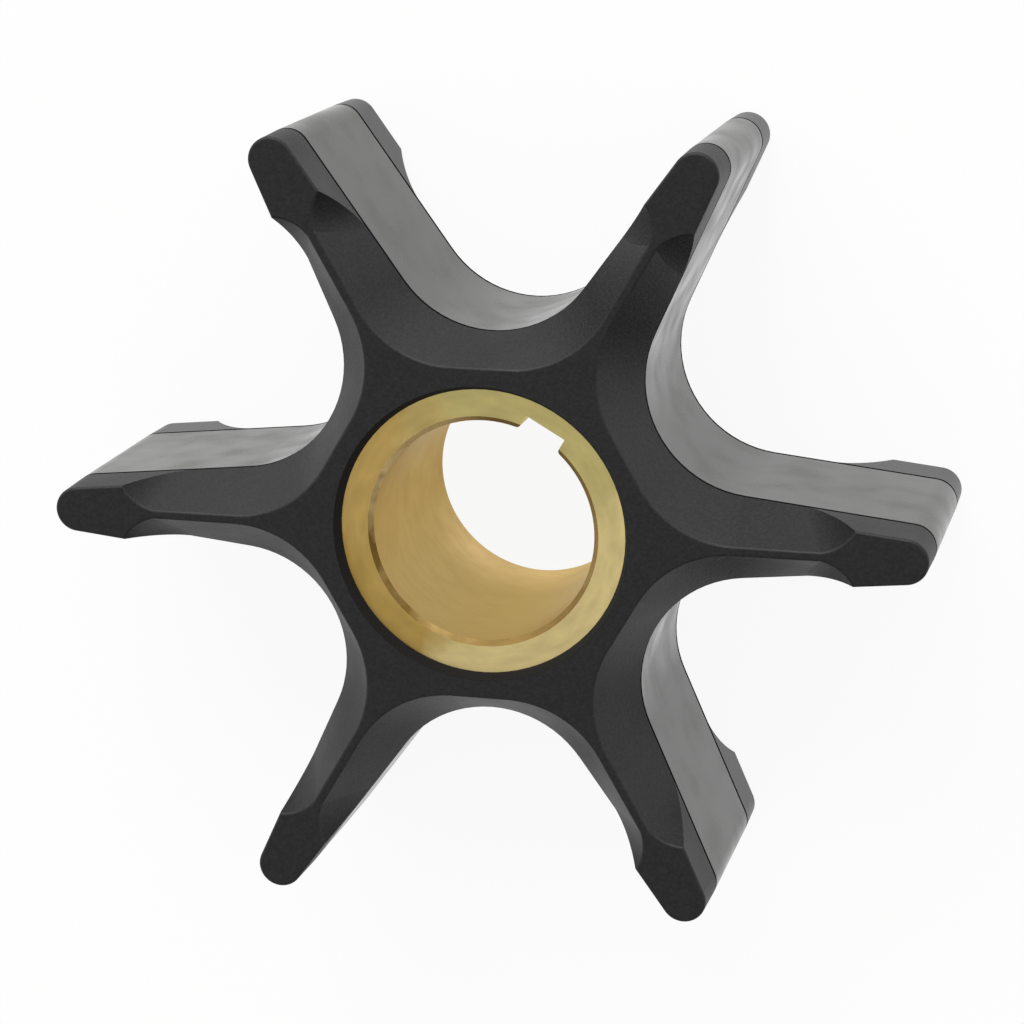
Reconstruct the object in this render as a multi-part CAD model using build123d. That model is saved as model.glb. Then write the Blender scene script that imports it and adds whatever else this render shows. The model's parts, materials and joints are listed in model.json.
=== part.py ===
from build123d import *
import math
import os

# Overall sizes of the rubber wheel, in millimetres and degrees
tip_diameter = 79.0
wheel_width = 27.3
vane_count = 6

# Turned metal insert
insert_diameter = 25.7
insert_recess = 1.15
shaft_diameter = 20.0
bore_chamfer = 0.45
key_width = 4.0
key_depth = 1.25
key_corner_radius = 0.4
key_direction = 60.0

# Fit of the rubber on the insert: bonded, so nothing is left between them
bond_clearance = 0.0
mouth_flare = 0.45

# Full section band of the vanes, between the two parting planes
band_width = 16.6
hub_wall = 4.45
pad_length = 6.4
pad_thickness = 5.16
vane_taper = 6.0

# Relieved faces: a thin rib left along each vane, widening to the hub and to the tip pad
rib_width = 0.70
face_ring = 2.05
shoulder_corner_radius = 9.7
face_edge_radius = 0.25

# Scooped ramp from the rib up to each tip pad, its foot leaning towards the hub
ramp_radius = 4.8
ramp_length = 4.3
ramp_lean = 1.2
ramp_sink = 0.08
pad_draft = 0.09

# Witness groove left where the mould plates met
witness_width = 0.4
witness_depth = 0.15

# Values that follow from the sizes above
vane_step = 360.0 / vane_count
half_step = math.radians(vane_step / 2)
taper = math.radians(vane_taper)
mid_height = wheel_width / 2
insert_length = wheel_width - 2 * insert_recess
seat_radius = insert_diameter / 2 + bond_clearance
valley_radius = seat_radius + hub_wall
shoulder_distance = seat_radius + face_ring
pad_radius = tip_diameter / 2 - pad_length
ramp_start = pad_radius - ramp_length
ramp_foot = ramp_start - ramp_lean
cap_bottom = mid_height + band_width / 2 + witness_width
gap_axis = (math.cos(half_step), math.sin(half_step))
flank_distance = (pad_thickness / 2 + pad_radius * math.tan(taper)) * math.cos(taper)
tip_round = (flank_distance - tip_diameter / 2 * math.sin(taper)) / (1 - math.sin(taper))
tip_centre = tip_diameter / 2 - tip_round
flank_slope = math.sin(half_step + taper)
root_radius = (valley_radius * flank_slope - flank_distance) / (1 - flank_slope)
root_centre = valley_radius + root_radius


def on_arc(centre, radius, angle):
    """Point of an arc in the plane of the wheel, the angle in radians."""
    return (centre[0] + radius * math.cos(angle), centre[1] + radius * math.sin(angle))


def across_gap(point):
    """The same point on the other side of the gap's centre line."""
    angle = 2 * half_step - math.atan2(point[1], point[0])
    reach = math.hypot(point[0], point[1])
    return (reach * math.cos(angle), reach * math.sin(angle))


def flank_point(x, inset):
    """Point of the flank at a distance x along the vane, moved into the rubber by the inset."""
    return (x, (flank_distance - inset - x * math.sin(taper)) / math.cos(taper))


def tip_points(inset):
    """Start, middle and end of the round tip, from the lower flank to the upper."""
    radius = tip_round - inset
    end = on_arc((tip_centre, 0.0), radius, math.pi / 2 - taper)
    return ((end[0], -end[1]), (tip_centre + radius, 0.0), end)


def shoulder_centre():
    """Centre of the rounded corner where the rib widens into the hub face."""
    y = rib_width / 2 + shoulder_corner_radius
    x = (shoulder_distance + shoulder_corner_radius - y * gap_axis[1]) / gap_axis[0]
    return (x, y)


def rib_segments():
    """Outline at the face without the pads: half a rib from tip to gap, its end, the flat beside the gap."""
    rib = rib_width / 2
    centre = shoulder_centre()
    flat_end = on_arc(centre, shoulder_corner_radius, math.pi + half_step)
    turn = on_arc(centre, shoulder_corner_radius, (math.pi + half_step + 1.5 * math.pi) / 2)
    half = [
        ((tip_centre, rib), (centre[0], rib)),
        ((centre[0], rib), turn, flat_end),
    ]
    end = ((tip_centre, -rib), (tip_centre + rib, 0.0), (tip_centre, rib))
    return half, end, (flat_end, across_gap(flat_end))


def band_segments(inset):
    """Outline of the full section: half a vane from tip to gap, the tip, the foot of the gap."""
    tip = tip_points(inset)
    radius = root_radius + inset
    centre = (root_centre * gap_axis[0], root_centre * gap_axis[1])
    shoulder = shoulder_centre()
    flat_half = shoulder[0] * gap_axis[1] - shoulder[1] * gap_axis[0]
    start = 1.5 * math.pi - taper
    split = math.pi + half_step + math.asin(flat_half / radius)
    root = on_arc(centre, radius, start)
    split_point = on_arc(centre, radius, split)
    half = [
        (tip[2], root),
        (root, on_arc(centre, radius, (start + split) / 2), split_point),
    ]
    lowest = on_arc(centre, radius, math.pi + half_step)
    return half, tip, (split_point, lowest, across_gap(split_point))


def drawn(pieces, z, turn):
    """Lines and arcs at height z, turned round the axis by an angle in degrees."""
    edges = []
    for piece in pieces:
        points = [Vector(x, y, z).rotate(Axis.Z, turn) for x, y in piece]
        if len(points) == 2:
            edges.append(Edge.make_line(*points))
        else:
            edges.append(Edge.make_three_point_arc(*points))
    return edges


def wheel_wire(segments, z):
    """Closed outline at height z: one vane's segments, repeated round the axis."""
    half, tip, gap = segments
    other = [tuple((x, -y) for x, y in reversed(piece)) for piece in reversed(half)]
    edges = []
    for i in range(vane_count):
        edges += drawn([*other, tip, *half, gap], z, i * vane_step)
    return Wire(edges)


def pad_prism():
    """Drafted block of one tip pad, its inner end on the leaning foot of the ramp."""
    tip = tip_points(0.0)
    x, y = flank_point(ramp_foot - 1, 0.0)
    pieces = [((x, -y), tip[0]), tip, (tip[2], (x, y)), ((x, y), (x, -y))]
    outline = Face(Wire(drawn(pieces, cap_bottom, 0)))
    height = wheel_width - cap_bottom
    prism = extrude(outline, height, taper=math.degrees(math.atan(pad_draft / height)))
    end = Plane(origin=(ramp_start, 0, wheel_width), z_dir=(height, 0, -ramp_lean))
    return split(prism, bisect_by=end, keep=Keep.TOP)


def scoop(side):
    """Leaning cylinder that leaves the ramp: it runs along the bevelled flank, just under its surface."""
    top = Vector(ramp_start, side * (rib_width / 2 - ramp_sink), wheel_width)
    foot = Vector(ramp_foot, side * (flank_point(ramp_foot, 0)[1] - ramp_sink), cap_bottom)
    lean = (top - foot).normalized()
    reach = ramp_radius * math.sqrt(1 - lean.X**2) / lean.Z
    centre = (top + foot) / 2 + Vector(0, side * reach, 0)
    return Plane(origin=centre, x_dir=(0, side, 0), z_dir=lean) * Cylinder(ramp_radius, 4 * wheel_width)


def tip_pad():
    """Tip pad with a scooped ramp on either side of the rib and softened face edges."""
    pad = pad_prism() - scoop(1) - scoop(-1)
    rim = pad.edges().group_by(Axis.Z)[-1].sort_by(Axis.X)[1:]
    return fillet(rim, face_edge_radius)


def face_cap():
    """Relieved layer on the upper face, with drafted tip pads and softened face edges."""
    outlines = [wheel_wire(band_segments(0.0), cap_bottom), wheel_wire(rib_segments(), wheel_width)]
    cap = Solid.make_loft(outlines, ruled=True)
    cap = fillet(cap.edges().group_by(Axis.Z)[-1], face_edge_radius)
    pad = tip_pad()
    for i in range(vane_count):
        cap += Rot(0, 0, i * vane_step) * pad
    return cap


def slab(inset, low, high):
    """Straight walled layer of the wheel between two heights."""
    return Solid.extrude(Face(wheel_wire(band_segments(inset), low)), Vector(0, 0, high - low))


def insert_seat():
    """Space the insert takes up, flaring at each mouth where the rubber stands proud of it."""
    seat = Cylinder(seat_radius, wheel_width)
    flare = Pos(0, 0, (insert_length + insert_recess) / 2)
    flare *= Cone(seat_radius, seat_radius + mouth_flare, insert_recess)
    seat += flare
    seat += Rot(180, 0, 0) * flare
    return Pos(0, 0, mid_height) * seat


def rubber_vane_wheel():
    """One moulding: hub and straight vanes, relieved alike on both faces."""
    upper = face_cap()
    band_top = mid_height + band_width / 2
    groove = slab(witness_depth, band_top, cap_bottom)
    middle = Plane.XY.offset(mid_height)
    body = slab(0.0, mid_height - band_width / 2, band_top)
    for layer in (groove, upper):
        body += layer
        body += mirror(layer, about=middle)
    return body - insert_seat()


def bore_profile():
    """Section of the bore: the shaft's circle and the keyway, rounded where they meet."""
    key_floor = shaft_diameter / 2 + key_depth
    profile = Circle(shaft_diameter / 2) + Pos(key_floor / 2, 0) * Rectangle(key_floor, key_width)
    corners = profile.vertices().sort_by(Axis.X)[:2]
    return Rot(0, 0, key_direction) * fillet(corners, key_corner_radius)


def brass_insert():
    """Turned sleeve with a countersunk bore and one keyway through its full length."""
    sleeve = Cylinder(insert_diameter / 2, insert_length)
    sleeve -= extrude(bore_profile(), insert_length, both=True)
    bore_radius = shaft_diameter / 2
    countersink = Cone(bore_radius - bore_chamfer, bore_radius + bore_chamfer, 2 * bore_chamfer)
    countersink = Pos(0, 0, insert_length / 2 - bore_chamfer) * countersink
    sleeve -= countersink
    sleeve -= Rot(180, 0, 0) * countersink
    return Pos(0, 0, mid_height) * sleeve


os.makedirs("parts", exist_ok=True)
export_step(rubber_vane_wheel(), "parts/rubber_vane_wheel.step")
export_step(brass_insert(), "parts/brass_insert.step")
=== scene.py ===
import json
import math
from types import SimpleNamespace

import bpy
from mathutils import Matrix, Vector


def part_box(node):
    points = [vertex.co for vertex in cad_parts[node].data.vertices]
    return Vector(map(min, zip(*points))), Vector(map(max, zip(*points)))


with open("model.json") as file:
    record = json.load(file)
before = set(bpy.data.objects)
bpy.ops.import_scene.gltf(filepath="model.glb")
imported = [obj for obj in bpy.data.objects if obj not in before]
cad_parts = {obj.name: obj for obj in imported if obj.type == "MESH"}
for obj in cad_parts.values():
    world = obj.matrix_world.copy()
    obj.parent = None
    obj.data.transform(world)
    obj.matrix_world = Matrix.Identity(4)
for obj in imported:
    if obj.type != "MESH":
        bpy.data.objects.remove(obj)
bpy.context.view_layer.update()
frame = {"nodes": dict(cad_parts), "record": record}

MM = 0.001

# Sizes of the part, in metres, as the frame gives them
bore = [mount for mount in frame["record"]["mounts"] if mount["name"] == "bore"][0]
wheel_low, wheel_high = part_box("rubber_vane_wheel")
insert_low, insert_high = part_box("brass_insert")
BORE_RADIUS = bore["dims"]["r_mm"] * MM
INSERT_RADIUS = (insert_high[0] - insert_low[0]) / 2
HALF_INSERT = (insert_high[2] - insert_low[2]) / 2
MIDDLE = (wheel_high[2] + wheel_low[2]) / 2

# Where one finish ends and the next begins, in metres. The mouth and the bore reach a hair past their walls.
HALF_BAND = 8.3 * MM
GROOVE_WIDTH = 0.4 * MM
MOUTH_WIDTH = 0.47 * MM
BORE_CHAMFER = 0.45 * MM
BORE_SKIN = 0.03 * MM

# Nearly all of a noise lies in this part of its range
SPREAD = {"From Min": 0.3, "From Max": 0.7}

# Two input sockets and the output socket of a colour mix
FIRST, SECOND, RESULT = 6, 7, 2


def colour(code):
    """Linear RGBA of an sRGB hex value."""
    channels = [int(code[i : i + 2], 16) / 255 for i in (1, 3, 5)]
    return tuple(c / 12.92 if c <= 0.04045 else ((c + 0.055) / 1.055) ** 2.4 for c in channels) + (1.0,)


def add(tree, kind, inputs=None, **settings):
    """Adds a node. An input is a value, one output of another node, or a node, for its first output."""
    node = tree.nodes.new("ShaderNode" + kind)
    for name, value in settings.items():
        setattr(node, name, value)
    for socket, value in (inputs or {}).items():
        if isinstance(value, bpy.types.Node):
            value = value.outputs[0]
        if isinstance(value, bpy.types.NodeSocket):
            tree.links.new(value, node.inputs[socket])
        else:
            node.inputs[socket].default_value = value
    return node


def new_material(name):
    """A material with an empty tree."""
    material = bpy.data.materials.new(name)
    material.use_nodes = True
    material.node_tree.nodes.clear()
    return material, material.node_tree


def measured(tree):
    """Where a point of the part lies: its place, that seen along the bore, and its distances."""
    place = add(tree, "TexCoord").outputs["Object"]
    across = add(tree, "VectorMath", {0: place, 1: (1, 1, 0)}, operation="MULTIPLY")
    height = add(tree, "SeparateXYZ", {0: place}).outputs["Z"]
    above = add(tree, "Math", {0: height, 1: MIDDLE}, operation="SUBTRACT")
    return SimpleNamespace(
        place=place,
        across=across,
        radius=add(tree, "VectorMath", {0: across}, operation="LENGTH").outputs["Value"],
        height=height,
        from_middle=add(tree, "Math", {0: above}, operation="ABSOLUTE"),
    )


# Nitrile rubber, compression moulded in a three plate mould. The polished middle plate leaves a satin skin
# with a thin grey bloom, which mirrors the table at a low angle. The blasted outer plates leave a dull black
# grain, finer from the lower plate than from the upper. In the parting grooves and the two mouths the
# rubber is matt and painted near black, as painted shade in these recesses.
def moulded_nitrile_rubber():
    material, tree = new_material("compression_moulded_nitrile_rubber")
    at = measured(tree)

    band_edge = {"From Min": HALF_BAND, "From Max": HALF_BAND + GROOVE_WIDTH}
    blasted = add(tree, "MapRange", {"Value": at.from_middle, **band_edge})
    # Painted shade: the parting grooves and the mouth round the brass are masked here to be painted near
    # black
    groove = {1: HALF_BAND + GROOVE_WIDTH / 2, 2: GROOVE_WIDTH * 0.55}
    in_groove = add(tree, "Math", {0: at.from_middle, **groove}, operation="COMPARE")
    in_mouth = add(tree, "Math", {0: at.radius, 1: INSERT_RADIUS + MOUTH_WIDTH}, operation="LESS_THAN")
    shaded_recess = add(tree, "Math", {0: in_groove, 1: in_mouth}, operation="MAXIMUM")

    # Clouds of bloom are 2 to 6 mm across
    bloom = add(tree, "TexNoise", {"Vector": at.place, "Scale": 1 / (4 * MM), "Detail": 1.0})
    thick = add(tree, "MapRange", {"Value": bloom, **SPREAD})
    blooms = {FIRST: colour("#2A2A28"), SECOND: colour("#343431")}
    satin = add(tree, "Mix", {0: thick, **blooms}, data_type="RGBA")
    satin_rough = add(tree, "MapRange", {"Value": thick, "To Min": 0.15, "To Max": 0.31})

    # Blast grain is about 0.1 mm, too fine to show, so it is drawn at 0.28. It wears unevenly, over 9 mm.
    grain = add(tree, "TexNoise", {"Vector": at.place, "Scale": 1 / (0.28 * MM), "Detail": 2.0})
    coarse = add(tree, "MapRange", {"Value": grain, **SPREAD})
    blacks = {FIRST: colour("#050506"), SECOND: colour("#18181B")}
    dull = add(tree, "Mix", {0: coarse, **blacks}, data_type="RGBA")
    wear = add(tree, "TexNoise", {"Vector": at.place, "Scale": 1 / (9 * MM)})
    worn_range = {"From Min": 0.35, "From Max": 0.65, "To Min": 0.48, "To Max": 0.57}
    worn = add(tree, "MapRange", {"Value": wear, **worn_range})
    upper = add(tree, "Math", {0: at.height, 1: MIDDLE}, operation="GREATER_THAN")
    dull_rough = add(tree, "Mix", {0: upper, 2: 0.36, 3: worn})

    skins = {FIRST: satin.outputs[RESULT], SECOND: dull.outputs[RESULT]}
    skin = add(tree, "Mix", {0: blasted, **skins}, data_type="RGBA")
    skin_rough = add(tree, "Mix", {0: blasted, 2: satin_rough, 3: dull_rough})
    # Painted shade in the recesses: near black and matt in the grooves and mouths
    recess_shade = {FIRST: skin.outputs[RESULT], SECOND: colour("#060606")}
    base = add(tree, "Mix", {0: shaded_recess, **recess_shade}, data_type="RGBA")
    rough = add(tree, "Mix", {0: shaded_recess, 2: skin_rough, 3: 1.0})

    depth = add(tree, "Math", {0: grain, 1: blasted}, operation="MULTIPLY")
    relief = add(tree, "Bump", {"Strength": 1.0, "Distance": 0.03 * MM, "Height": depth})
    finish = {"Base Color": base.outputs[RESULT], "Roughness": rough, "IOR": 1.45, "Normal": relief}
    add(tree, "OutputMaterial", {"Surface": add(tree, "BsdfPrincipled", finish)})
    return material


# Brass bar, faced, bored and countersunk on a lathe, then broached for the key. Fine tool rings spread the
# light across them. Air has left the face warm gold on one side and greener on the other. A darker outer
# sector of the face is painted shade and a paler patch is a painted highlight. One side of the bore is
# darkened with painted shade, and its lower end carries a painted highlight on one side. The countersink,
# cut rough, has a painted reflection in pale gold on one side and painted shade in brown on the other.
def turned_brass():
    material, tree = new_material("turned_brass")
    at = measured(tree)

    # Each patch: the compass turn it lies at, and how far out towards there it begins and is full, as shares
    # of the way from the axis to the rim
    tarnish = add(tree, "TexNoise", {"Vector": at.place, "Scale": 1 / (4 * MM), "Detail": 4.0})
    drift = add(tree, "MapRange", {"Value": tarnish, **SPREAD, "To Min": -0.15, "To Max": 0.15})
    # Apart from the warm tarnish, these patches paint light: the darker one at 226 is painted shade, the pale
    # one a painted highlight, the one at 143 painted shade in the bore and a painted reflection on the
    # countersink, the one at 260 the side of a painted highlight in the bore, and the two at 204 and 290
    # painted shade on the countersink.
    patches = {
        "warm": (190, 0.05, 0.5), "shaded_face": (226, 0.68, 1.0), "pale": (312, 0.28, 0.6),
        "dull": (143, 0.4, 0.75), "bore_highlight_side": (260, 0.35, 0.8),
        "sink_shade_main": (204, 0.55, 0.76), "sink_shade_faint": (290, 0.5, 0.7),
    }
    patch = {}
    for name, (turn, begins, full) in patches.items():
        turn = math.radians(turn)
        way = (math.cos(turn) / INSERT_RADIUS, math.sin(turn) / INSERT_RADIUS, 0)
        toward = add(tree, "VectorMath", {0: at.place, 1: way}, operation="DOT_PRODUCT").outputs["Value"]
        reach = add(tree, "Math", {0: toward, 1: drift}, operation="ADD")
        patch[name] = add(tree, "MapRange", {"Value": reach, "From Min": begins, "From Max": full})
    # Painted highlight: the bore is painted brighter towards its lower end, on one side
    lower_end = add(tree, "MapRange", {"Value": at.height, "From Min": 11 * MM, "From Max": 3 * MM})
    patch["bore_highlight"] = add(tree, "Math", {0: patch["bore_highlight_side"], 1: lower_end}, operation="MULTIPLY")
    # Painted shade on the countersink, full on one side and fainter on another
    faint = add(tree, "Math", {0: patch["sink_shade_faint"], 1: 0.6}, operation="MULTIPLY")
    patch["sink_shade"] = add(tree, "Math", {0: patch["sink_shade_main"], 1: faint}, operation="MAXIMUM")

    # Each surface: its own colour, and what its patches turn it to, the later over the earlier
    # Tints that paint light: on the face the darker one is painted shade and the paler one a painted
    # highlight; in the bore the duller one is painted shade and the brighter one a painted highlight; on the
    # countersink the pale gold one is a painted reflection and the brown one painted shade. The warm tint is
    # tarnish.
    surfaces = {
        "face": ("#DCCD86", {"warm": "#D7B56A", "shaded_face": "#C6A354", "pale": "#F6E09D"}),
        "bore": ("#B39B70", {"dull": "#A2865E", "bore_highlight": "#DCC193"}),
        "countersink": ("#BAA06A", {"dull": "#F2DCA6", "sink_shade": "#7E6431"}),
    }
    metal = {}
    for surface, (code, tints) in surfaces.items():
        shown = colour(code)
        for name, tint in tints.items():
            coat = {0: patch[name], FIRST: shown, SECOND: colour(tint)}
            shown = add(tree, "Mix", coat, data_type="RGBA").outputs[RESULT]
        metal[surface] = shown

    in_bore = add(tree, "Math", {0: at.radius, 1: BORE_RADIUS + BORE_SKIN}, operation="LESS_THAN")
    near_bore = add(tree, "Math", {0: at.radius, 1: BORE_RADIUS + BORE_CHAMFER}, operation="LESS_THAN")
    sink_floor = HALF_INSERT - BORE_CHAMFER
    near_face = add(tree, "Math", {0: at.from_middle, 1: sink_floor}, operation="GREATER_THAN")
    sunk = add(tree, "Math", {0: near_bore, 1: near_face}, operation="MULTIPLY")
    turnings = {FIRST: metal["face"], SECOND: metal["bore"]}
    turning = add(tree, "Mix", {0: in_bore, **turnings}, data_type="RGBA")
    cuts = {FIRST: turning.outputs[RESULT], SECOND: metal["countersink"]}
    cut = add(tree, "Mix", {0: sunk, **cuts}, data_type="RGBA")

    # Smears run round the bore, on the face and inside: 0.9 mm across and three times as long
    travel = add(tree, "Math", {0: at.radius, 1: at.from_middle}, operation="ADD")
    turned = add(tree, "VectorMath", {0: at.across}, operation="NORMALIZE")
    turned = add(tree, "VectorMath", {0: turned, "Scale": INSERT_RADIUS / 3}, operation="SCALE")
    stretched = add(tree, "VectorMath", {0: turned, 1: add(tree, "CombineXYZ", {2: travel})}, operation="ADD")
    smears = add(tree, "TexNoise", {"Vector": stretched, "Scale": 1 / (0.9 * MM), "Detail": 3.0})
    smear = add(tree, "MapRange", {"Value": smears, **SPREAD})
    shade = add(tree, "MapRange", {"Value": smear, "To Min": 0.91, "To Max": 1.08})
    shaded = add(tree, "VectorMath", {0: cut.outputs[RESULT], "Scale": shade}, operation="SCALE")
    smear_rough = add(tree, "MapRange", {"Value": smear, "To Min": 0.28, "To Max": 0.36})
    rough = add(tree, "Mix", {0: sunk, 2: smear_rough, 3: 0.7})

    # Tool rings are 0.1 mm apart, too fine to show, so they are drawn at 0.3
    rings = add(tree, "TexNoise", {"W": travel, "Scale": 1 / (0.3 * MM)}, noise_dimensions="1D")
    relief = add(tree, "Bump", {"Strength": 0.5, "Distance": 0.006 * MM, "Height": rings})
    round_axis = add(tree, "Tangent", direction_type="RADIAL", axis="Z")
    finish = {
        "Base Color": shaded, "Roughness": rough, "Metallic": 1.0, "Normal": relief,
        "Anisotropic": 0.4, "Tangent": round_axis, "Specular Tint": colour("#F3E2B4"),
    }
    add(tree, "OutputMaterial", {"Surface": add(tree, "BsdfPrincipled", finish)})
    return material


# White painted board. To the eye, straight or mirrored, it shows near white, and it keeps a faint shadow.
def white_board():
    glow_share = 0.92
    material, tree = new_material("white_painted_board")
    rays = add(tree, "LightPath").outputs
    seen = add(tree, "Math", {0: rays["Is Camera Ray"], 1: rays["Is Glossy Ray"]}, operation="MAXIMUM")
    seen = add(tree, "Math", {0: seen, 1: rays["Is Transmission Ray"]}, operation="MAXIMUM")
    share = add(tree, "Math", {0: seen, 1: glow_share}, operation="MULTIPLY")
    paint = add(tree, "BsdfPrincipled", {"Base Color": colour("#F6F6F4"), "Roughness": 0.9})
    glow = add(tree, "Emission", {"Strength": 1.0})
    add(tree, "OutputMaterial", {"Surface": add(tree, "MixShader", {0: share, 1: paint, 2: glow})})
    return material


def lay_floor():
    """Wide board just under the part."""
    bpy.ops.object.select_all(action="DESELECT")
    bpy.ops.mesh.primitive_plane_add(size=6.0, location=(0, 0, -0.02 * MM))
    bpy.ops.object.transform_apply(location=True, rotation=True, scale=True)
    floor = bpy.context.object
    floor.name = "studio_floor"
    floor.data.materials.append(white_board())


def light_room():
    """Studio with a darker ceiling, its pale walls brightest on the far side."""
    world = bpy.data.worlds.new("studio_room")
    bpy.context.scene.world = world
    world.use_nodes = True
    tree = world.node_tree
    tree.nodes.clear()
    way = add(tree, "SeparateXYZ", {0: add(tree, "TexCoord").outputs["Generated"]}).outputs
    near_to_far = {"From Min": -0.8, "From Max": 1.0, "To Min": 0.25, "To Max": 2.5}
    walls = add(tree, "MapRange", {"Value": way["Y"], **near_to_far})
    overhead = add(tree, "MapRange", {"Value": way["Z"], "From Min": 0.1, "From Max": 0.85})
    level = add(tree, "Mix", {0: overhead, 2: walls, 3: 0.55})
    room = add(tree, "Background", {"Color": colour("#FFFFFF"), "Strength": level})
    add(tree, "OutputWorld", {"Surface": room})


def hang_lamp(name, turn, rise, distance, size, power):
    """Square soft box facing the part, at a compass turn and a rise in degrees."""
    lamp = bpy.data.lights.new(name, "AREA")
    lamp.shape = "SQUARE"
    lamp.size = size
    lamp.energy = power
    holder = bpy.data.objects.new(name, lamp)
    bpy.context.scene.collection.objects.link(holder)
    turn, rise = math.radians(turn), math.radians(rise)
    way = (math.cos(rise) * math.cos(turn), math.cos(rise) * math.sin(turn), math.sin(rise))
    holder.location = [distance * part for part in way]
    holder.rotation_euler = (-holder.location).to_track_quat("-Z", "Y").to_euler()


def set_camera():
    """Long lens above the part, tipped about twenty degrees off the axis of the bore."""
    camera = bpy.data.cameras.new("camera")
    camera.sensor_width = 36.0
    camera.lens = 114.556
    camera.clip_start = 0.01
    holder = bpy.data.objects.new("camera", camera)
    bpy.context.scene.collection.objects.link(holder)
    holder.location = (66.672 * MM, 72.947 * MM, 295.350 * MM)
    holder.rotation_euler = [math.radians(angle) for angle in (-14.3345, 13.4165, 0.1928)]
    bpy.context.scene.camera = holder


def finish_part():
    """Each solid of the part in its own material."""
    finishes = {"rubber_vane_wheel": moulded_nitrile_rubber(), "brass_insert": turned_brass()}
    for name, material in finishes.items():
        mesh = frame["nodes"][name].data
        mesh.materials.clear()
        mesh.materials.append(material)


finish_part()
lay_floor()
light_room()
hang_lamp("far_soft_box", turn=100, rise=35, distance=1.1, size=0.6, power=6.0)
set_camera()
bpy.context.scene.view_settings.view_transform = "Standard"
